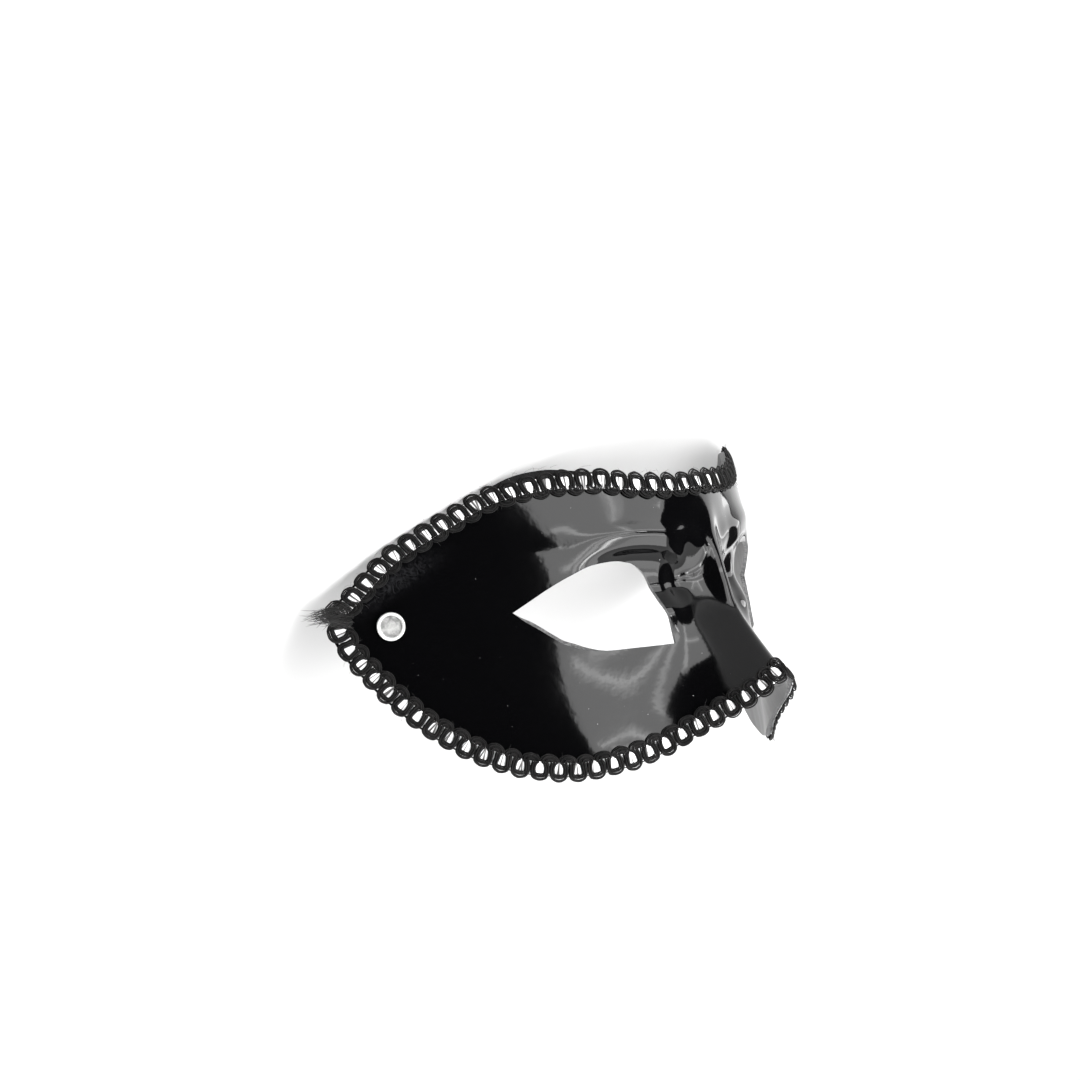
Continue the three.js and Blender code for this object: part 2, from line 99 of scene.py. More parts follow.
# Along and up as shares of the eye's length and height, from its nose corner
eye_lid = [
    (0, 0.03), (0.006, 0.295), (0.023, 0.48), (0.04, 0.64), (0.082, 0.81), (0.156, 0.93),
    (0.231, 0.98), (0.342, 1), (0.52, 0.97), (0.658, 0.87), (0.782, 0.75), (0.9, 0.61), (1, 0.485),
]
eye_lower = [
    (1, 0.485), (0.935, 0.38), (0.853, 0.275), (0.771, 0.165), (0.686, 0.075), (0.506, 0),
    (0.24, 0.01), (0.107, 0.02), (0, 0.03),
]
socket_depth = 3.8
socket_slope = 2.2
crease_roll = 0.45
orbit_rise = 1
orbit_spread = 3
orbit_peak = 1.5
socket_power = 2.15
socket_x = eye_inner_x + 0.212 * eye_length
socket_y = eye_low_y + 0.72 * eye_height
socket_half_x = 0.475 * eye_length
socket_half_y = 0.419 * eye_height

rivet_inset = 10.5
rivet_y = -2.2
rivet_hole_radius = 1.7
# The sheet is trimmed a little inside the braid, but its bare edge shows along one stretch of brow
trim_back = 0.9
bare_edge_x = -46
bare_edge_half = 8
# The lower lids were trimmed with a slanting blade, which leaves a broad cut face there.
# It starts and ends at these shares of the eye's length, and fades in and out over the second ones.
slant_cut = 1.0
slant_start, slant_fade_in = 0.45, 0.2
slant_end, slant_fade_out = 1.0, 0.1


def eased(t):
    """Runs from 0 to 1 with a soft start and a soft end."""
    return t**2 * (3 - 2 * t)


def edge_height(rows, rise, x):
    """Height of an edge at x, a smooth curve through its short table."""
    xs = rows[:, 0] * half_width
    ys = rows[:, 1] * rise
    slope = np.diff(ys) / np.diff(xs)
    slopes = np.zeros(len(xs))
    slopes[-1] = slope[-1]
    for i in range(1, len(xs) - 1):
        before, after = slope[i - 1], slope[i]
        slopes[i] = 0 if before * after <= 0 else 2 * before * after / (before + after)
    reach = np.minimum(np.abs(x), half_width)
    i = np.clip(np.searchsorted(xs, reach, side="left") - 1, 0, len(xs) - 2)
    step = xs[i + 1] - xs[i]
    t = (reach - xs[i]) / step
    rest = 1 - t
    return (
        ys[i] * (1 + 2 * t) * rest**2
        + slopes[i] * step * t * rest**2
        + ys[i + 1] * t**2 * (3 - 2 * t)
        - slopes[i + 1] * step * t**2 * rest
    )


def upper_edge(x):
    return edge_height(upper_rows, brow_rise, x)


def lower_edge(x):
    return edge_height(lower_rows, cheek_drop, x)


def section_value(y, column):
    """One column of the face sections, blended over the height."""
    values = face_sections[:, column]
    place = y / section_step - face_sections[0, 0]
    i = np.clip(np.floor(place).astype(int), 1, len(values) - 3)
    t = place - i
    return (
        values[i - 1] * (1 - t) ** 3
        + values[i] * (3 * t**3 - 6 * t**2 + 4)
        + values[i + 1] * (-3 * t**3 + 3 * t**2 + 3 * t + 1)
        + values[i + 2] * t**3
    ) / 6


def wrap(across):
    """How far the shell has wrapped back: 0 at the nose, 1 at the temple."""
    def bowl(share):
        return (share**2 + wrap_softness) ** (wrap_power / 2)
    return (bowl(across) - bowl(0)) / (bowl(1) - bowl(0))


def shell_depth(x, y):
    """How far forward the outer face of the shell is."""
    across = x / half_width
    depth = face_depth * (section_value(y, 1) - section_value(y, 2) * wrap(across))
    spread = section_value(y, 4) * nose_half_width
    farthest = 40
    beside_nose = np.clip(x / spread, -farthest, farthest)
    depth = depth + nose_rise * section_value(y, 3) / np.cosh(beside_nose)
    cheek_x = (np.abs(across) - cheek_place[0]) / cheek_spread[0]
    cheek_y = (y / cheek_drop + cheek_place[1]) / cheek_spread[1]
    depth = depth + cheek_bulge * np.exp(-(cheek_x**2) - cheek_y**2)
    # The bridge is a narrow ridge, with the face sunk on both sides of it as far as the eyes
    beside = np.clip((np.abs(x) - bridge_foot) / (eye_inner_x - bridge_foot), 0, 1)
    off_ridge = 1 - np.exp(-((x / bridge_half_width) ** 2))
    near_bridge = np.exp(-(((y - bridge_y) / bridge_spread) ** 2))
    depth = depth - bridge_drop * (1 - eased(beside)) * off_ridge * near_bridge
    ring_x = np.abs((np.abs(x) - socket_x) / socket_half_x)
    ring_y = np.abs((y - socket_y) / socket_half_y)
    ring = (ring_x**socket_power + ring_y**socket_power) ** (1 / socket_power)
    past = (ring - 1) * socket_half_y
    # The socket is crisp at the nose and brow, and dies out towards the temple and the cheek
    outward = np.clip((np.abs(x) - socket_x) / socket_half_x, 0, 1)
    downward = np.clip((socket_y - y) / socket_half_y, 0, 1)
    fade = (1 - eased(outward)) * (1 - eased(downward))
    deepest = 30
    inside = crease_roll * np.log1p(np.exp(np.minimum(-past / crease_roll, deepest)))
    depth = depth - socket_depth * fade * (1 - np.exp(-inside / socket_slope))
    return depth + orbit_rise * fade * np.exp(-((past / orbit_spread - orbit_peak) ** 2))


def shell_normal(x, y):
    """Which way the outer face of the shell looks."""
    d = 0.05
    across = (shell_depth(x + d, y) - shell_depth(x - d, y)) / (2 * d)
    upward = (shell_depth(x, y + d) - shell_depth(x, y - d)) / (2 * d)
    normal = np.stack([-across, -upward, np.ones_like(across)], axis=-1)
    return normal / np.linalg.norm(normal, axis=-1, keepdims=True)


def shell_point(x, y, height):
    """A point over the shell, height above its outer face."""
    flat = np.stack([x, y, shell_depth(x, y)], axis=-1)
    return flat + shell_normal(x, y) * np.asarray(height)[..., None]


def turned(directions):
    """Directions of the upright mask as they point once it lies on its brow edge."""
    x, y, z = directions[..., 0], directions[..., 1], directions[..., 2]
    lean, rise = math.cos(rest_tilt), math.sin(rest_tilt)
    return np.stack([-x, -(y * lean + z * rise), -y * rise + z * lean], axis=-1)


def at_rest(points):
    """Points of the upright mask, in millimetres, where they lie on the table, in metres."""
    return (turned(points) + np.array(rest_shift)) / 1000


def between(a, b, c, d, t):
    """A point on the smooth line from b to c, whose neighbours are a and d."""
    into, out = (c - a) / 2, (d - b) / 2
    return (
        b + into * t + (3 * (c - b) - 2 * into - out) * t**2
        + (2 * (b - c) + into + out) * t**3
    )


def rounded_outline(rows, side):
    """A smooth line through rows of the eye table, on one side of the nose."""
    steps_per_row = 16
    points = np.array([
        (side * (eye_inner_x + along * eye_length), eye_low_y + up * eye_height)
        for along, up in rows
    ])
    padded = np.vstack([points[:1], points, points[-1:]])
    return np.array([
        between(a, b, c, d, t)
        for a, b, c, d in zip(padded, padded[1:], padded[2:], padded[3:])
        for t in np.linspace(0, 1, steps_per_row, endpoint=False)
    ])


def cut_opening(sheet, outline, corners):
    """Pulls the flat sheet's nearest points onto the outline and takes out what lies inside."""
    margin = 2
    unknown = 9
    loose_reach = 1.2
    smooth_passes = 4
    smooth_share = 0.4
    tiny = 1e-9
    runs = np.roll(outline, -1, axis=0) - outline
    rises = np.where(runs[:, 1] == 0, tiny, runs[:, 1])

    def is_inside(points):
        over = outline[:, 1] > points[:, None, 1]
        crosses = over != np.roll(over, -1, axis=1)
        cross_x = outline[:, 0] + (points[:, None, 1] - outline[:, 1]) / rises * runs[:, 0]
        return (crosses & (cross_x > points[:, None, 0])).sum(axis=1) % 2 == 1

    low = outline.min(axis=0) - margin
    high = outline.max(axis=0) + margin
    near = [v for v in sheet.verts if low[0] < v.co.x < high[0] and low[1] < v.co.y < high[1]]
    spots = np.array([(v.co.x, v.co.y) for v in near])
    share = ((spots[:, None] - outline) * runs).sum(-1) / (runs**2).sum(-1)
    closest = outline + np.clip(share, 0, 1)[..., None] * runs
    gaps = np.linalg.norm(spots[:, None] - closest, axis=-1)
    best = gaps.argmin(axis=1)
    inside = is_inside(spots)
    # How far each point is from the outline, less than nothing inside it, and where it would go
    away = {v: gaps[i, best[i]] * (-1 if inside[i] else 1) for i, v in enumerate(near)}
    target = {v: closest[i, best[i]] for i, v in enumerate(near)}
    for corner in corners:
        v = near[int(np.linalg.norm(spots - corner, axis=1).argmin())]
        target[v] = np.array(corner)
        away[v] = 0
    for edge in {e for v in near for e in v.link_edges}:
        a, b = edge.verts
        if a in away and b in away and away[a] * away[b] < 0:
            away[a if abs(away[a]) < abs(away[b]) else b] = 0
    fixed = [v for v in near if away[v] == 0]
    for v in fixed:
        v.co.x, v.co.y = target[v]
    for face in {f for v in near for f in v.link_faces}:
        signs = [away.get(v, unknown) for v in face.verts]
        if min(signs) < 0 < max(signs):
            on = [v for v in face.verts if away[v] == 0]
            if len(on) == 2:
                bmesh.utils.face_split(face, on[0], on[1])
    waste = []
    for face in {f for v in near for f in v.link_faces}:
        signs = [away.get(v, unknown) for v in face.verts]
        middle = face.calc_center_median()
        on_line = max(signs) == 0
        if min(signs) < 0 or (on_line and is_inside(np.array([(middle.x, middle.y)]))[0]):
            waste.append(face)
    bmesh.ops.delete(sheet, geom=waste, context="FACES")
    held = {v for v in fixed if v.is_valid}
    loose = [v for v in near if v.is_valid and v not in held and 0 < away[v] < loose_reach]
    for _ in range(smooth_passes):
        bmesh.ops.smooth_vert(
            sheet, verts=loose, factor=smooth_share,
            use_axis_x=True, use_axis_y=True, use_axis_z=False,
        )


def piece_from(name, mesh_builder, materials):
    """Makes a piece of a finished bmesh and gives it its materials."""
    mesh = bpy.data.meshes.new(name)
    mesh_builder.to_mesh(mesh)
    mesh_builder.free()
    piece = bpy.data.objects.new(name, mesh)
    bpy.context.scene.collection.objects.link(piece)
    for material in materials:
        mesh.materials.append(material)
    return piece


def store_on_points(piece, name, values):
    """Keeps one number for each point of a piece, for its material to read."""
    attribute = piece.data.attributes.new(name, "FLOAT", "POINT")
    attribute.data.foreach_set("value", values.astype(np.float32))


def new_material(name):
    """An empty material, with the node tree to build on and its shader."""
    material = bpy.data.materials.new(name)
    material.use_nodes = True
    return material, material.node_tree, material.node_tree.nodes["Principled BSDF"]


def set_inputs(node, values):
    for name, value in values.items():
        node.inputs[name].default_value = value


def object_place(tree):
    return tree.nodes.new("ShaderNodeTexCoord").outputs["Object"]


def stored_value(tree, name):
    """What store_on_points kept under a name."""
    attribute = tree.nodes.new("ShaderNodeAttribute")
    attribute.attribute_name = name
    return attribute.outputs["Fac"]


def sum_of(tree, operation, *values):
    """The result of one operation on numbers or on other nodes' outputs."""
    node = tree.nodes.new("ShaderNodeMath")
    node.operation = operation
    for socket, value in zip(node.inputs, values):
        if isinstance(value, float):
            socket.default_value = value
        else:
            tree.links.new(value, socket)
    return node.outputs[0]


def noise(tree, vector, scale, detail=2.0, distortion=0.0, roughness=0.5):
    texture = tree.nodes.new("ShaderNodeTexNoise")
    set_inputs(texture, {
        "Scale": scale, "Detail": detail, "Distortion": distortion, "Roughness": roughness,
    })
    tree.links.new(vector, texture.inputs["Vector"])
    return texture.outputs["Fac"]


def rescaled(tree, value, low, high, start=0.0, end=1.0):
    """A value between start and end, turned into one between low and high."""
    scaled = tree.nodes.new("ShaderNodeMapRange")
    set_inputs(scaled, {"From Min": start, "From Max": end, "To Min": low, "To Max": high})
    tree.links.new(value, scaled.inputs["Value"])
    return scaled.outputs["Result"]


def ramp(tree, value, low_colour, high_colour, start=0.0, end=1.0):
    """Runs from one colour to another while a value goes from start to end."""
    blend = tree.nodes.new("ShaderNodeValToRGB")
    low, high = blend.color_ramp.elements
    low.position, low.color = start, (*low_colour, 1)
    high.position, high.color = end, (*high_colour, 1)
    tree.links.new(value, blend.inputs["Fac"])
    return blend.outputs["Color"]


def mixed(tree, factor, first, second):
    """Two colours, each a colour or another node's output, mixed by a factor."""
    mix = tree.nodes.new("ShaderNodeMix")
    mix.data_type = "RGBA"
    tree.links.new(factor, mix.inputs["Factor"])
    for socket, colour in ((mix.inputs["A"], first), (mix.inputs["B"], second)):
        if isinstance(colour, tuple):
            socket.default_value = (*colour, 1)
        else:
            tree.links.new(colour, socket)
    return mix.outputs["Result"]


def raised(tree, height, strength, distance, under=None):
    """The normal of a surface that a height raises a little, over another such normal or alone."""
    bump = tree.nodes.new("ShaderNodeBump")
    set_inputs(bump, {"Strength": strength, "Distance": distance})
    tree.links.new(height, bump.inputs["Height"])
    if under:
        tree.links.new(under, bump.inputs["Normal"])
    return bump.outputs["Normal"]


def speckle_group():
    """Fine specks of dust and lint: the mask is 1 on a speck and 0 between them."""
    least_lot = 0.85
    group = bpy.data.node_groups.new("dust specks", "ShaderNodeTree")
    group.interface.new_socket("Vector", in_out="INPUT", socket_type="NodeSocketVector")
    group.interface.new_socket("Scale", in_out="INPUT", socket_type="NodeSocketFloat")
    group.interface.new_socket("Amount", in_out="INPUT", socket_type="NodeSocketFloat")
    group.interface.new_socket("Mask", in_out="OUTPUT", socket_type="NodeSocketFloat")
    source = group.nodes.new("NodeGroupInput")
    result = group.nodes.new("NodeGroupOutput")
    cells = group.nodes.new("ShaderNodeTexVoronoi")
    cells.feature = "F1"
    group.links.new(source.outputs["Vector"], cells.inputs["Vector"])
    group.links.new(source.outputs["Scale"], cells.inputs["Scale"])
    lot = group.nodes.new("ShaderNodeSeparateColor")
    group.links.new(cells.outputs["Color"], lot.inputs["Color"])
    size = sum_of(group, "MULTIPLY", lot.outputs["Red"], source.outputs["Amount"])
    speck = sum_of(group, "LESS_THAN", cells.outputs["Distance"], size)
    chosen = sum_of(group, "GREATER_THAN", lot.outputs["Green"], least_lot)
    mask = sum_of(group, "MULTIPLY", speck, chosen)
    group.links.new(mask, result.inputs["Mask"])
    return group


def gloss_black():
    """Black gloss with a faint ripple, uneven polish, dust, and dull dried glue near the braid."""
    plastic_black = (0.0012, 0.0012, 0.0014)
    dust_grey = (0.16, 0.16, 0.16)
    smudge_grey = (0.024, 0.024, 0.026)
    glue_dullness = 0.35
    material, tree, shader = new_material("glossy black plastic")
    shader.inputs["IOR"].default_value = 1.28
    place = object_place(tree)
    specks = tree.nodes.new("ShaderNodeGroup")
    specks.node_tree = speckle_group()
    set_inputs(specks, {"Scale": 700, "Amount": 0.1})
    tree.links.new(place, specks.inputs["Vector"])
    dusty = mixed(tree, specks.outputs["Mask"], plastic_black, dust_grey)
    streaks = rescaled(
        tree, noise(tree, place, scale=420, detail=9, distortion=3),
        low=0, high=1, start=0.36, end=0.9,
    )
    smudge = sum_of(tree, "MULTIPLY", stored_value(tree, "glue"), streaks)
    tree.links.new(mixed(tree, smudge, dusty, smudge_grey), shader.inputs["Base Color"])
    polish = rescaled(
        tree, noise(tree, place, scale=60, detail=6), low=0.06, high=0.11, start=0.4, end=0.75,
    )
    dulled = sum_of(tree, "MULTIPLY_ADD", smudge, glue_dullness, polish)
    tree.links.new(dulled, shader.inputs["Roughness"])
    ripple = raised(tree, noise(tree, place, scale=30, detail=1.5), strength=0.25, distance=0.0002)
    peel = raised(tree, noise(tree, place, scale=300), strength=0.35, distance=0.00006, under=ripple)
    tree.links.new(peel, shader.inputs["Normal"])
    return material


def satin_back():
    """Satin black with faint streaks in one direction."""
    material, tree, shader = new_material("satin back of the plastic")
    stretch = tree.nodes.new("ShaderNodeMapping")
    stretch.inputs["Scale"].default_value = (40, 260, 40)
    tree.links.new(object_place(tree), stretch.inputs["Vector"])
    streak = noise(tree, stretch.outputs["Vector"], scale=1, detail=5)
    colour = ramp(tree, streak, (0.012, 0.012, 0.012), (0.035, 0.035, 0.036), start=0.3, end=0.75)
    tree.links.new(colour, shader.inputs["Base Color"])
    tree.links.new(rescaled(tree, streak, low=0.26, high=0.46), shader.inputs["Roughness"])
    tree.links.new(raised(tree, streak, strength=0.4, distance=0.0003), shader.inputs["Normal"])
    return material


def trimmed_plastic():
    """The gritty face that a blade leaves, in a grey that is partly its own pale burr and partly a
    painted highlight on the edge.
    """
    material, tree, shader = new_material("trimmed plastic edge")
    grit = noise(tree, object_place(tree), scale=1800, detail=4)
    # Painted highlight in part: the cut face is far lighter than the plastic, standing in for the
    # light a rounded edge would catch, over its own gritty grain
    colour = ramp(tree, grit, (0.03, 0.03, 0.031), (0.16, 0.16, 0.16), start=0.4, end=0.75)
    tree.links.new(colour, shader.inputs["Base Color"])
    shader.inputs["Roughness"].default_value = 0.5
    tree.links.new(raised(tree, grit, strength=0.6, distance=0.0001), shader.inputs["Normal"])
    return material


def crowded(places, span, density):
    """Places from 0 to 1, spread over a span and closer together where the density is high."""
    total = np.concatenate([[0], np.cumsum((density[1:] + density[:-1]) / 2)])
    return np.interp(places, total / total[-1], span)


# The grid is closest about the eyes, where the sockets need it, and at the steep temples
grid_columns = 300
grid_rows = 130
temple_turn = 0.98
eye_columns, eye_columns_at, eye_columns_half = 1.3, 0.35, 0.17
eye_rows, eye_rows_at, eye_rows_half = 0.9, 0.6, 0.2
side_trim_share = 0.6
hole_points = 40
sheet = bmesh.new()
bmesh.ops.create_grid(sheet, x_segments=grid_columns, y_segments=grid_rows, size=1)
columns = np.array([v.co.x for v in sheet.verts])
heights = np.array([(v.co.y + 1) / 2 for v in sheet.verts])
span_x = np.linspace(-1, 1, 801)
beside_eye = (np.abs(span_x) - eye_columns_at) / eye_columns_half
density = 1 / np.cos(temple_turn * span_x) ** 0.5 + eye_columns * np.exp(-(beside_eye**2))
columns = half_width * crowded((columns + 1) / 2, span_x, density)
span_y = np.linspace(0, 1, 401)
density = 1 + eye_rows * np.exp(-(((span_y - eye_rows_at) / eye_rows_half) ** 2))
heights = crowded(heights, span_y, density)
bare = np.exp(-(((columns - bare_edge_x) / bare_edge_half) ** 4))
columns = columns * (1 - side_trim_share * trim_back / half_width)
low_side = lower_edge(columns) + trim_back
high_side = upper_edge(columns) - trim_back * (1 - bare)
heights = low_side * (1 - heights) + high_side * heights
for v, x, y in zip(sheet.verts, columns, heights):
    v.co.x, v.co.y = x, y
for side in (-1, 1):
    lid = rounded_outline(eye_lid, side)
    lower_line = rounded_outline(eye_lower, side)
    cut_opening(sheet, np.vstack([lid, lower_line]), [lid[0], lower_line[0]])
    turns = np.linspace(0, 2 * math.pi, hole_points, endpoint=False)
    rivet_x = side * (half_width - rivet_inset)
    # The hole is narrower across in the flat sheet, by how much the face leans there
    rise = shell_depth(rivet_x + 0.5, rivet_y) - shell_depth(rivet_x - 0.5, rivet_y)
    lean = math.hypot(1, rise)
    hole = np.stack([
        rivet_x + rivet_hole_radius / lean * np.cos(turns),
        rivet_y + rivet_hole_radius * np.sin(turns),
    ], axis=-1)
    cut_opening(sheet, hole, [])
bmesh.ops.recalc_face_normals(sheet, faces=sheet.faces)
sheet.normal_update()
if sum(f.normal.z for f in sheet.faces) < 0:
    bmesh.ops.reverse_faces(sheet, faces=sheet.faces)

# The flat sheet is lifted onto the face, and a copy of it one wall further in makes the back
front = list(sheet.verts)
flat_x = np.array([v.co.x for v in front])
flat_y = np.array([v.co.y for v in front])
lifted = shell_point(flat_x, flat_y, np.zeros(len(front)))
for v, point in zip(front, lifted):
    v.co = point
behind = bmesh.ops.duplicate(sheet, geom=sheet.verts[:] + sheet.edges[:] + sheet.faces[:])
copies = behind["vert_map"]
copied_edges = behind["edge_map"]
inner = shell_point(flat_x, flat_y, np.full(len(front), -wall))
along_eye = (np.abs(flat_x) - eye_inner_x) / eye_length
slant = slant_cut * np.clip((along_eye - slant_start) / slant_fade_in, 0, 1)
slant = slant * np.clip((slant_end - along_eye) / slant_fade_out, 0, 1)
lid_low = eye_low_y - 1
lid_middle = eye_low_y + 0.5 * eye_height
for v, point, shift in zip(front, inner, slant):
    copies[v].co = point
    if shift > 0 and v.is_boundary and lid_low < v.co.y < lid_middle:
        copies[v].co.y += shift
back_faces = [g for g in behind["geom"] if isinstance(g, bmesh.types.BMFace)]
bmesh.ops.reverse_faces(sheet, faces=back_faces)
for face in back_faces:
    face.material_index = 1

# Each open loop in front, round the rim or a hole, is closed to its copy behind
front_set = set(front)
to_close = {e for e in sheet.edges if e.is_boundary and e.verts[0] in front_set}
while to_close:
    loop = [to_close.pop()]
    waiting = list(loop)
    while waiting:
        for v in waiting.pop().verts:
            for other in v.link_edges:
                if other in to_close:
                    to_close.remove(other)
                    loop.append(other)
                    waiting.append(other)
    closed = bmesh.ops.bridge_loops(sheet, edges=loop + [copied_edges[e] for e in loop])
    for face in closed["faces"]:
        face.material_index = 2
for face in sheet.faces:
    face.smooth = True
for edge in sheet.edges:
    if len({f.material_index for f in edge.link_faces}) > 1:
        edge.smooth = False
places = np.array([v.co for v in sheet.verts])
for v, point in zip(sheet.verts, at_rest(places)):
    v.co = point
shell = piece_from("moulded_shell", sheet, [gloss_black(), satin_back(), trimmed_plastic()])
# Dried glue shows as a pale smear beside the braid above each temple
glue_x, glue_half = 73, 5.5
glue_under_rim, glue_reach = 9.3, 2.6
glue_out = np.abs(np.abs(places[:, 0]) - glue_x) / glue_half
glue_in = (upper_edge(places[:, 0]) - places[:, 1] - glue_under_rim) / glue_reach
store_on_points(shell, "glue", np.exp(-(glue_out**2) - glue_in**2))
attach(shell, "root")
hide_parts("mask_shell")


# Braid on the upper and the lower edge
# A costume gimp: five black rayon cords run side by side as one serpentine, over the silver
# ribbon at each bar and round in a small fan at both sides, and the braid is glued to the rim.
braid_inset = 0.4
braid_width = 6.4
braid_middle = braid_width / 2
braid_pitch = 4.95
tip_space = 1.6
cord_radius = 0.215
cord_count = 5
cord_sides = 6
cord_step = 0.36
fan_outer_line = 1.75
fan_inner_line = 4.75
# Where the upper braid was glued further inside the rim, as shares of its length, and how far
slip_place, slip_half, slip_in = 0.29, 0.055, 1.1
bar_lean = 0.2
# Half length and height of the first cord's turn in each fan, and what the last cord's has more
outer_half, outer_half_gain = 1.16, 1.06
outer_tall, outer_tall_gain = 0.2, 1.75
inner_half, inner_half_gain = 2.4, -1.95
inner_tall, inner_tall_gain = 1.95, -1.6
# Every second cord lies on top, and each fan rises towards its smallest turn
bar_height, bar_lift = 0.85, 0.4
fan_height, fan_lift, fan_rise = 0.5, 0.35, 0.3
# How unevenly the braid was made, from window to window
uneven_shift, uneven_tall, uneven_lean, uneven_tilt = 0.08, 0.05, 0.1, 0.07


def trim_line(edge, inward):
    """The rim from temple to temple, in even small steps, with the way in from it."""
    first_points = 1200
    line_step = 0.1
    look_ahead = 16
    turn = temple_turn * np.linspace(-1, 1, first_points)
    x = half_width * np.sin(turn) / math.sin(temple_turn)
    x = np.concatenate([[-half_width], x, [half_width]])
    y = edge(x)
    y[0] = y[-1] = -inward * tip_space / 2
    line = shell_point(x, y, np.zeros(len(x)))
    run = np.concatenate([[0], np.cumsum(np.linalg.norm(np.diff(line, axis=0), axis=1))])
    even = np.linspace(0, run[-1], int(run[-1] / line_step))
    line = np.stack([np.interp(even, run, line[:, k]) for k in range(3)], axis=-1)
    last = len(line) - 1
    places = np.arange(len(line))
    after = line[np.minimum(places + look_ahead, last)]
    before = line[np.maximum(places - look_ahead, 0)]
    way = np.cross(shell_normal(line[:, 0], line[:, 1]), after - before) * inward
    way /= np.linalg.norm(way, axis=1, keepdims=True)
    middle = line + way * (braid_inset + braid_middle)
    middle = shell_point(middle[:, 0], middle[:, 1], np.zeros(len(line)))
    steps = np.concatenate([[0], np.cumsum(np.linalg.norm(np.diff(middle, axis=0), axis=1))])
    return {"line": line, "way": way, "run": steps, "length": steps[-1]}


def on_trim(trim, along, across, height):
    """Points at a distance along a trim, across it from the rim, and above the shell."""
    along, across = np.broadcast_arrays(np.asarray(along, float), np.asarray(across, float))
    base, way = (
        np.stack([np.interp(along, trim["run"], trim[part][:, k]) for k in range(3)], axis=-1)
        for part in ("line", "way")
    )
    way /= np.linalg.norm(way, axis=-1, keepdims=True)
    flat = base + way * across[..., None]
    return shell_point(flat[..., 0], flat[..., 1], np.broadcast_to(height, along.shape))


def smooth_through(knots, step):
    """Points about one step apart on a smooth line through the knots."""
    padded = np.vstack([2 * knots[0] - knots[1], knots, 2 * knots[-1] - knots[-2]])
    line = []
    for a, b, c, d in zip(padded, padded[1:], padded[2:], padded[3:]):
        count = max(1, int(round(np.linalg.norm((c - b)[:2]) / step)))
        line += [between(a, b, c, d, t) for t in np.linspace(0, 1, count, endpoint=False)]
    line.append(knots[-1])
    return np.array(line)


def slip(trim, along):
    """How far the braid was glued inside the rim: the bare edge shows over the near brow."""
    place = (along / trim["length"] - slip_place) / slip_half
    return slip_in * np.exp(-(place**4)) if trim is upper_trim else 0


def skew(trim, across):
    """The upper braid was pulled along as it was glued, so that its bars lean to the temple."""
    return bar_lean * (across - braid_middle) if trim is upper_trim else 0


def cord_knots(trim, strand, chance):
    """Knots of one cord of the serpentine: distance along, across and above the shell."""
    count = round(trim["length"] / braid_pitch)
    pitch = trim["length"] / count
    f = strand / (cord_count - 1)
    out_half = outer_half + outer_half_gain * f
    out_tall = outer_tall + outer_tall_gain * f
    in_half = inner_half + inner_half_gain * f
    in_tall = inner_tall + inner_tall_gain * f
    leg = pitch / 2 - out_half
    over = bar_height + bar_lift * (strand % 2)
    low = fan_height + fan_lift * (strand % 2)
    inner_height = low + fan_rise * f
    outer_height = low + fan_rise * (1 - f)
    bar_reach = 2.2
    knots = []
    for k in range(count):
        middle = (k + 0.5) * pitch
        shift = chance.normal(0, uneven_shift)
        tall = 1 + chance.normal(0, uneven_tall)
        lean = chance.normal(0, uneven_lean)
        tilt = chance.normal(0, uneven_tilt)
        # From the crown of the inner fan, along the bar, and nearly to the crown of the outer fan
        half = [
            (-pitch / 2, fan_inner_line + in_tall * tall, inner_height),
            (-pitch / 2 + 0.72 * in_half, fan_inner_line + 0.72 * in_tall, inner_height),
            (-pitch / 2 + in_half, fan_inner_line + 0.22 * in_tall, inner_height),
            (-pitch / 2 + 0.8 * in_half + 0.2 * leg, fan_inner_line - 0.2, low + 0.35 * f),
            (-pitch / 2 + 0.3 * in_half + 0.7 * leg, fan_inner_line - 0.45, over - 0.1),
            (-out_half - tilt, braid_middle, over),
            (-out_half, fan_outer_line + 0.1, over - 0.05),
            (-0.76 * out_half, fan_outer_line - 0.67 * out_tall, outer_height),
        ]
        crown = (middle + lean, fan_outer_line - out_tall * tall, outer_height)
        there = [
            (middle + along + shift * (abs(along) < bar_reach), across, height)
            for along, across, height in half
        ]
        back = [
            (middle - along + shift * (abs(along) < bar_reach), across, height)
            for along, across, height in reversed(half[1:])
        ]
        knots += [*there, crown, *back]
    return np.array(knots)


def tubes(name, paths, radius, sides, material, thin_ends=False):
    """Round cords through lists of points at rest, as one mesh piece."""
    table_gap = 1.2
    taper_start, taper_end = 6, 0.3
    curve = bpy.data.curves.new(name, "CURVE")
    curve.dimensions = "3D"
    curve.bevel_depth = radius / 1000
    curve.bevel_resolution = max(0, (sides - 4) // 2)
    curve.use_fill_caps = True
    for path in paths:
        path[:, 2] = np.maximum(path[:, 2], table_gap * radius / 1000)
        spline = curve.splines.new("POLY")
        spline.points.add(len(path) - 1)
        spline.points.foreach_set("co", np.column_stack([path, np.ones(len(path))]).ravel())
        if thin_ends:
            taper = np.clip(np.linspace(taper_start, taper_end, len(path)), 0, 1)
            spline.points.foreach_set("radius", taper)
        spline.use_smooth = True
    drawn = bpy.data.objects.new(name, curve)
    bpy.context.scene.collection.objects.link(drawn)
    bpy.context.view_layer.update()
    finished = drawn.evaluated_get(bpy.context.evaluated_depsgraph_get())
    mesh = bpy.data.meshes.new_from_object(finished)
    bpy.data.objects.remove(drawn)
    bpy.data.curves.remove(curve)
    mesh.name = name
    mesh.materials.clear()
    mesh.materials.append(material)
    piece = bpy.data.objects.new(name, mesh)
    bpy.context.scene.collection.objects.link(piece)
    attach(piece, "root")
    return piece


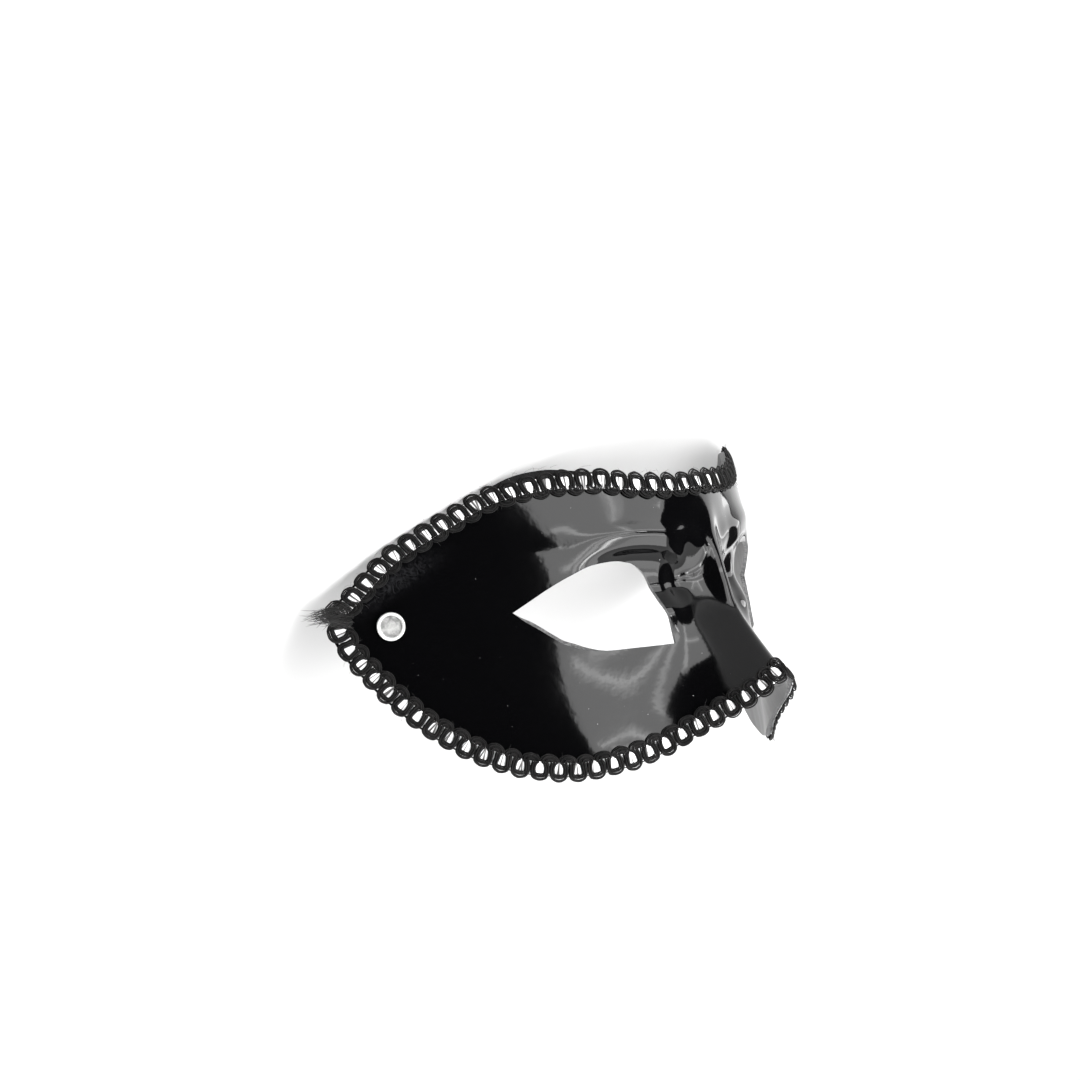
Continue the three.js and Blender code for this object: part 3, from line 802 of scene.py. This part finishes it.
def wound_cord():
    """Matt black rayon, a little uneven in tone, with fine fibres in its surface."""
    material, tree, shader = new_material("black wound rayon cord")
    place = object_place(tree)
    uneven = noise(tree, place, scale=420, detail=4)
    colour = ramp(tree, uneven, (0.003, 0.003, 0.0031), (0.0115, 0.011, 0.011), start=0.35, end=0.72)
    tree.links.new(colour, shader.inputs["Base Color"])
    set_inputs(shader, {
        "Roughness": 0.68, "Specular IOR Level": 0.12, "Sheen Weight": 0.02, "Sheen Roughness": 0.4,
    })
    fibres = raised(tree, noise(tree, place, scale=5200), strength=0.5, distance=0.00006)
    tree.links.new(fibres, shader.inputs["Normal"])
    return material


cord_black = wound_cord()
upper_trim = trim_line(upper_edge, -1)
lower_trim = trim_line(lower_edge, 1)
for name, node, trim, seed in (
    ("upper_braid_cords", "upper_braid", upper_trim, 11),
    ("lower_braid_cords", "lower_braid", lower_trim, 12),
):
    paths = []
    for strand in range(cord_count):
        knots = smooth_through(cord_knots(trim, strand, np.random.default_rng(seed)), cord_step)
        along = np.clip(knots[:, 0] + skew(trim, knots[:, 1]), 0, trim["length"])
        across = knots[:, 1] + slip(trim, along)
        paths.append(at_rest(on_trim(trim, along, across, knots[:, 2])))
    braid = tubes(name, paths, cord_radius, cord_sides, cord_black)
    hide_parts(node)


# Foil ribbon under each braid
# A strip of thin silver foil that shows in the windows of the braid. It was pleated as the
# cords were looped over it, so most windows hold one or two sharp folds. Their dark is painted
# shade in the foil's colour.
ribbon_low = 1.3
ribbon_high = 4.75
ribbon_height = 0.55
ribbon_thickness = 0.08
ribbon_step = 0.13
ribbon_rows = 14
# The upper ribbon is wider over the near brow: where, as shares of its length, and how much
peep_place, peep_half, peep_out = 0.345, 0.035, 0.8
# How often a fold is darkened with painted shade, and how far and how wide each fold lifts the foil
fold_shade_odds = 0.75
fold_rise, fold_rise_half = 0.14, 0.35
window_tilt = 0.03
# Where the two folds of a window start, mean and spread, and how far they slant, from and to
first_starts, first_slants = (-0.25, 0.25), (0.35, 0.9)
second_starts, second_slants = (0.3, 0.3), (-0.3, 0.8)
# How wide a fold's band of painted shade is, and how it narrows from the ribbon's rim side to its
# inner side
fold_shade_widths = (0.1, 0.32)
fold_shade_flare, fold_shade_narrowing = 1.4, 0.6


def creased_foil():
    """Bright foil, with painted shade that darkens it along its folds."""
    material, tree, shader = new_material("creased silver foil")
    # Painted shade: the foil's colour goes nearly black where the stored fold shade is high
    colour = mixed(tree, stored_value(tree, "fold_shade"), (0.95, 0.95, 0.96), (0.035, 0.033, 0.032))
    tree.links.new(colour, shader.inputs["Base Color"])
    shader.inputs["Metallic"].default_value = 0.15
    grain = noise(tree, object_place(tree), scale=1500, detail=3)
    tree.links.new(rescaled(tree, grain, low=0.3, high=0.5), shader.inputs["Roughness"])
    tree.links.new(raised(tree, grain, strength=0.3, distance=0.00005), shader.inputs["Normal"])
    return material


foil = creased_foil()
for name, node, trim, seed in (
    ("upper_pleated_foil", "upper_foil_ribbon", upper_trim, 21),
    ("lower_pleated_foil", "lower_foil_ribbon", lower_trim, 22),
):
    chance = np.random.default_rng(seed)
    count = round(trim["length"] / braid_pitch)
    pitch = trim["length"] / count
    strip = bmesh.new()
    ribbon_columns = int(trim["length"] / ribbon_step)
    bmesh.ops.create_grid(strip, x_segments=ribbon_columns, y_segments=ribbon_rows, size=1)
    grid = np.array([v.co for v in strip.verts])
    along = (grid[:, 0] + 1) / 2 * trim["length"]
    share = (grid[:, 1] + 1) / 2
    brow_place = (along / trim["length"] - peep_place) / peep_half
    peeping = peep_out * np.exp(-(brow_place**2)) if trim is upper_trim else 0
    across = ribbon_low + share * (ribbon_high - ribbon_low + peeping) + slip(trim, along)
    window = np.clip((along / pitch).astype(int), 0, count - 1)
    from_middle = along - (window + 0.5) * pitch
    fold_shade = np.zeros(len(grid))
    lift = np.zeros(len(grid))
    # Two folds a window, each with its own start, slope and width. Each lifts the foil, and most
    # are also darkened with painted shade; the shade of some of them is left out.
    for start, spread in (
        (chance.normal(*first_starts, count), chance.uniform(*first_slants, count)),
        (chance.normal(*second_starts, count), -chance.uniform(*second_slants, count)),
    ):
        line = start[window] - spread[window] * (1 - share)
        flare = fold_shade_flare - fold_shade_narrowing * share
        width = chance.uniform(*fold_shade_widths, count)[window] * flare
        fold_shaded = (chance.random(count) < fold_shade_odds)[window]
        fold_shade = np.maximum(fold_shade, fold_shaded * np.exp(-(((from_middle - line) / width) ** 4)))
        lift += fold_rise * np.exp(-np.abs(from_middle - line) / fold_rise_half)
    lift += chance.normal(0, window_tilt, count)[window] * np.sign(from_middle)
    placed = at_rest(on_trim(trim, along, across, ribbon_height + lift))
    for v, point in zip(strip.verts, placed):
        v.co = point
    for face in strip.faces:
        face.smooth = True
    ribbon = piece_from(name, strip, [foil])
    # Keeps the painted fold shade for the foil's colour to read
    store_on_points(ribbon, "fold_shade", fold_shade)
    thickness = ribbon.modifiers.new("foil thickness", "SOLIDIFY")
    thickness.thickness = ribbon_thickness / 1000
    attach(ribbon, "root")
    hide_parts(node)


# Temple rivets
# A two-part steel eyelet rivet at each temple, pressed from sheet: a bright rolled ring round a
# sunk, mottled disc in front, a shank through the shell, and a flat collar behind for a strap.
ring_radius = 3.75
ring_height = 1.25
ring_skirt = 0.55
ring_foot = 0.25
disc_radius = 2.95
disc_height = 0.45
disc_bend = 0.12
disc_edge = 0.4
dome_radius, dome_foot, dome_top = 1.2, 0.06, 0.08
shank_radius = 1.4
collar_radius = 3.2
collar_thick = 0.8
collar_bevel = 0.15
clearance = 0.3
rivet_steps = 64
sharp_angle = math.radians(50)


def worn_steel():
    """Steel, bright and smooth on the ring, and dull with grey blotches in the sunk disc."""
    material, tree, shader = new_material("worn bright steel")
    shader.inputs["Metallic"].default_value = 0.6
    mottle = noise(tree, object_place(tree), scale=520, detail=6, roughness=0.65)
    sunk = stored_value(tree, "sunk")
    blotches = ramp(tree, mottle, (0.17, 0.17, 0.17), (0.5, 0.5, 0.49), start=0.35, end=0.65)
    tree.links.new(mixed(tree, sunk, (0.86, 0.86, 0.85), blotches), shader.inputs["Base Color"])
    tree.links.new(rescaled(tree, sunk, low=0.28, high=0.5), shader.inputs["Roughness"])
    tree.links.new(raised(tree, mottle, strength=0.5, distance=0.00005), shader.inputs["Normal"])
    return material


steel = worn_steel()
for name, node, side in (("eyelet_left", "rivet_left", 1), ("eyelet_right", "rivet_right", -1)):
    # The rivet's half section, from the middle of the collar behind to the middle of the disc
    turned_part = bmesh.new()
    collar_front = -wall - clearance
    collar_back = collar_front - collar_thick
    roll_middle = (ring_radius + disc_radius) / 2
    roll_half = (ring_radius - disc_radius) / 2
    disc_top = clearance + disc_height
    profile = [
        (0, collar_back), (collar_radius - collar_bevel, collar_back),
        (collar_radius, collar_back + collar_bevel), (collar_radius, collar_front),
        (shank_radius, collar_front), (shank_radius, clearance), (ring_radius - ring_foot, clearance),
    ]
    for turn in np.linspace(-40, 180, 12):
        angle = math.radians(turn)
        rise = (ring_height - ring_skirt) * math.sin(angle)
        profile.append((roll_middle + roll_half * math.cos(angle), clearance + ring_skirt + rise))
    profile += [
        (disc_radius - disc_bend, disc_top), (disc_radius - disc_edge, disc_top),
        (dome_radius, disc_top + dome_foot), (0, disc_top + dome_top),
    ]
    ring = [turned_part.verts.new((radius, 0, height)) for radius, height in profile]
    outline = [turned_part.edges.new(pair) for pair in zip(ring, ring[1:])]
    bmesh.ops.spin(
        turned_part, geom=ring + outline, cent=(0, 0, 0), axis=(0, 0, 1), angle=2 * math.pi,
        steps=rivet_steps, use_merge=True,
    )
    bmesh.ops.remove_doubles(turned_part, verts=turned_part.verts, dist=0.0005)
    bmesh.ops.recalc_face_normals(turned_part, faces=turned_part.faces)
    for face in turned_part.faces:
        face.smooth = True
    for edge in turned_part.edges:
        if len(edge.link_faces) == 2 and edge.calc_face_angle() > sharp_angle:
            edge.smooth = False
    sunk = np.array([
        v.co.z > 0 and math.hypot(v.co.x, v.co.y) < disc_radius - 0.1 for v in turned_part.verts
    ])
    rivet_x = side * (half_width - rivet_inset)
    normal = Vector(shell_normal(np.array(rivet_x), np.array(rivet_y)))
    stand = Vector((0, 0, 1)).rotation_difference(normal).to_matrix()
    seat = Vector(shell_point(np.array(rivet_x), np.array(rivet_y), np.array(0.0)))
    spots = np.array([stand @ v.co + seat for v in turned_part.verts])
    for v, point in zip(turned_part.verts, at_rest(spots)):
        v.co = point
    eyelet = piece_from(name, turned_part, [steel])
    store_on_points(eyelet, "sunk", sunk)
    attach(eyelet, "root")
    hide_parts(node)


# Frayed ends at the temples
# The two braids meet at each temple, where their cut ends were left loose: a tuft of black
# rayon fibres that sweeps out and back past the tip.
tuft_length = 7.0
tuft_count = 170
tuft_inset = 1.5
tuft_fibre_radius = 0.055
fibre_sides = 4
curl_spread = 0.75
curl_share = 1.6
# Where a fibre may start along the edge, in from the tip and over the shell, and its length
start_ys = (-2.5, 4.5)
start_insets = (0, 3)
start_heights = (0.8, 1.9)
length_shares = (0.6, 1.25)
# All fibres sweep out and back, and draw together towards one height
sweep_out, sweep_back = 0.6, -0.75
gather_share, gather_y = 0.13, 0.8


def loose_fibre():
    """Black rayon fibre, a little uneven in tone."""
    material, tree, shader = new_material("loose black fibre")
    shade = noise(tree, object_place(tree), scale=300)
    colour = ramp(tree, shade, (0.002, 0.002, 0.002), (0.016, 0.0155, 0.015))
    tree.links.new(colour, shader.inputs["Base Color"])
    shader.inputs["Roughness"].default_value = 0.5
    return material


fibre_black = loose_fibre()
for name, side, seed in (("frayed_end_left", 1, 31), ("frayed_end_right", -1, 32)):
    chance = np.random.default_rng(seed)
    tip_x = side * (half_width - tuft_inset)
    paths = []
    for _ in range(tuft_count):
        start_y = chance.uniform(*start_ys)
        start_x = tip_x - side * chance.uniform(*start_insets)
        height = chance.uniform(*start_heights)
        start = shell_point(np.array(start_x), np.array(start_y), np.array(height))
        reach = tuft_length * chance.uniform(*length_shares)
        sweep = np.array([side * sweep_out, gather_share * (gather_y - start_y), sweep_back])
        curl = chance.normal(0, curl_spread, 3)
        steps = np.linspace(0, 1, 9)[:, None]
        path = start + sweep * reach * steps + curl * steps**2 * curl_share
        paths.append(at_rest(path))
    tuft = tubes(name, paths, tuft_fibre_radius, fibre_sides, fibre_black, thin_ends=True)


# Lint and flyaway fibres
# Hair-thin rayon fibres stand off the cords all along both braids, as on any worn gimp.
# More of them stand out past the rim than lie in over the face.
lint_count = 130
lint_radius = 0.025
outer_odds = 0.6
lowest_lint = 0.35
# Where the hairs root across the braid, how long they are, and how they drift, bend and lift
outer_roots, inner_roots = (0.1, 0.9), (5.2, 6.6)
hair_lengths = (0.5, 1.7)
hair_drift, hair_bend, hair_lift = 0.9, 0.5, 0.3
root_height, hair_rise = 0.9, 0.4
chance = np.random.default_rng(41)
paths = []
for trim in (upper_trim, lower_trim):
    for _ in range(lint_count):
        along = chance.uniform(2, trim["length"] - 2)
        outer = chance.random() < outer_odds
        across = chance.uniform(*(outer_roots if outer else inner_roots))
        reach = chance.uniform(*hair_lengths) * (-1 if outer else 1)
        drift = chance.normal(0, hair_drift)
        bend = chance.normal(0, hair_bend)
        steps = np.linspace(0, 1, 6)
        height = root_height + hair_rise * steps + chance.normal(0, hair_lift) * steps
        hair = on_trim(
            trim, np.clip(along + drift * steps + bend * steps**2, 0, trim["length"]),
            across + np.maximum(reach * steps, -across), np.maximum(height, lowest_lint),
        )
        if outer:
            way = hair[1] - hair[0]
            hair = hair + steps[:, None] * way / max(np.linalg.norm(way), 1e-6)
        paths.append(at_rest(hair))
lint = tubes("flyaway_fibres", paths, lint_radius, fibre_sides, fibre_black, thin_ends=True)


# Table, lights and camera
# A pale table under a wide overhead light, with panels that the black gloss mirrors, and a
# surround that is dark towards the camera and bright on the far side. The camera is a long lens
# at the photograph's angle, placed in the upright mask's millimetres.
table_white = (0.48, 0.48, 0.48, 1)
table_half = 8
camera_yaw = math.radians(52.1)
camera_pitch = math.radians(5.0)
camera_roll = math.radians(-1.7)
camera_lens = 122.5
sensor_width = 36
picture_width = 1080
image_middle = picture_width / 2
# Picture pixels for each millimetre at the aim, and the pixel that the aim falls on
camera_scale = 3.687
aim = np.array([0, 0, 40.0])
aim_pixel = (643.0, 593.4)

table = bmesh.new()
bmesh.ops.create_grid(table, x_segments=1, y_segments=1, size=table_half)
table_material, _, table_shader = new_material("pale table")
set_inputs(table_shader, {"Base Color": table_white, "Roughness": 0.8, "Specular IOR Level": 0.1})
table_top = piece_from("table", table, [table_material])

away = np.array([
    -math.sin(camera_yaw) * math.cos(camera_pitch),
    math.sin(camera_pitch),
    math.cos(camera_yaw) * math.cos(camera_pitch),
])
level = np.array([math.cos(camera_yaw), 0, math.sin(camera_yaw)])
upright = np.cross(away, level)
right = level * math.cos(camera_roll) + upright * math.sin(camera_roll)
above = -level * math.sin(camera_roll) + upright * math.cos(camera_roll)
distance = camera_lens / sensor_width * picture_width / camera_scale
slide_x = (aim_pixel[0] - image_middle) / camera_scale
slide_y = (image_middle - aim_pixel[1]) / camera_scale
spot = at_rest(aim + away * distance - right * slide_x - above * slide_y)
axes = [Vector(turned(way)) for way in (right, above, away)]
lens = bpy.data.cameras.new("camera")
lens.lens = camera_lens
lens.sensor_width = sensor_width
lens.clip_start = 0.01
camera = bpy.data.objects.new("camera", lens)
camera.matrix_world = Matrix((
    (axes[0].x, axes[1].x, axes[2].x, spot[0]),
    (axes[0].y, axes[1].y, axes[2].y, spot[1]),
    (axes[0].z, axes[1].z, axes[2].z, spot[2]),
    (0, 0, 0, 1),
))
bpy.context.scene.collection.objects.link(camera)
bpy.context.scene.camera = camera


def softbox(name, turn_deg, rise_deg, reach, width, height, glow, roll_deg=0):
    """An area light that faces the mask, at a compass turn from its nose and a height angle."""
    turn, rise, roll = (math.radians(angle) for angle in (turn_deg, rise_deg, roll_deg))
    mask_middle = Vector((0, 0, 0.04))
    way = Vector((
        math.sin(turn) * math.cos(rise), -math.cos(turn) * math.cos(rise), math.sin(rise),
    ))
    light = bpy.data.lights.new(name, "AREA")
    light.shape = "RECTANGLE"
    light.size = width
    light.size_y = height
    light.energy = glow * width * height
    lamp = bpy.data.objects.new(name, light)
    facing = way.to_track_quat("Z", "Y").to_matrix() @ Matrix.Rotation(roll, 3, "Z")
    lamp.matrix_world = Matrix.Translation(way * reach + mask_middle) @ facing.to_4x4()
    bpy.context.scene.collection.objects.link(lamp)


# Name, turn and rise in degrees, distance, width and height in metres, watts for each square
# metre, and for two of them a roll in degrees
for row in (
    ("key", 8, 57, 1.8, 1.05, 0.85, 26),
    ("overhead", -60, 84, 2.2, 3.0, 2.4, 8.5),
    ("back_light", 160, 36, 2.0, 2.6, 1.6, 13),
    ("under_light", 176, 15, 1.7, 2.2, 0.8, 16),
    ("upper_panel", 6, 10.6, 1.5, 1.2, 0.52, 28),
    ("middle_panel", 7, 23, 1.5, 1.05, 0.26, 28),
    ("upper_panel_glow", 8, 12, 1.45, 0.16, 0.36, 10),
    ("upper_panel_core", 8.5, 12, 1.42, 0.03, 0.36, 30),
    ("lower_panel", 20, 32, 1.5, 0.66, 0.34, 28),
    ("lower_panel_glow", 21, 32, 1.45, 0.46, 0.08, 10, 17),
    ("lower_panel_core", 21, 32, 1.42, 0.46, 0.025, 30, 17),
    ("crown_panel", 9, 42, 1.55, 0.8, 0.3, 28),
    ("brow_node", 21, 43, 1.45, 0.1, 0.1, 90),
    ("bridge_node", 2, 28, 1.45, 0.08, 0.08, 90),
    ("side_panel", -64, 8, 1.5, 1.15, 0.42, 18),
    ("far_panel", -100, 8, 1.5, 1.1, 0.4, 9),
):
    softbox(*row)

world = bpy.data.worlds.new("surround")
bpy.context.scene.world = world
world.use_nodes = True
sky = world.node_tree
view = sky.nodes.new("ShaderNodeTexCoord")
strengths = []
# Name, compass turn in degrees, how squarely a view faces it where it sets in and where it is
# full, and the strength before and after
for name, turn_deg, start, end, low, high in (
    ("dark room towards the camera", 72, -0.6, 0.2, 0.35, 0.01),
    ("bright wall on the far side", -85, 0.5, 0.95, 0.0, 1.4),
):
    facing = sky.nodes.new("ShaderNodeVectorMath")
    facing.label = name
    facing.operation = "DOT_PRODUCT"
    turn = math.radians(turn_deg)
    facing.inputs[1].default_value = (math.sin(turn), -math.cos(turn), 0)
    sky.links.new(view.outputs["Generated"], facing.inputs[0])
    strength = rescaled(sky, facing.outputs["Value"], low, high, start, end)
    strength.node.interpolation_type = "SMOOTHSTEP"
    strengths.append(strength)
sky.links.new(sum_of(sky, "ADD", *strengths), sky.nodes["Background"].inputs["Strength"])
bpy.context.scene.view_settings.view_transform = "Standard"
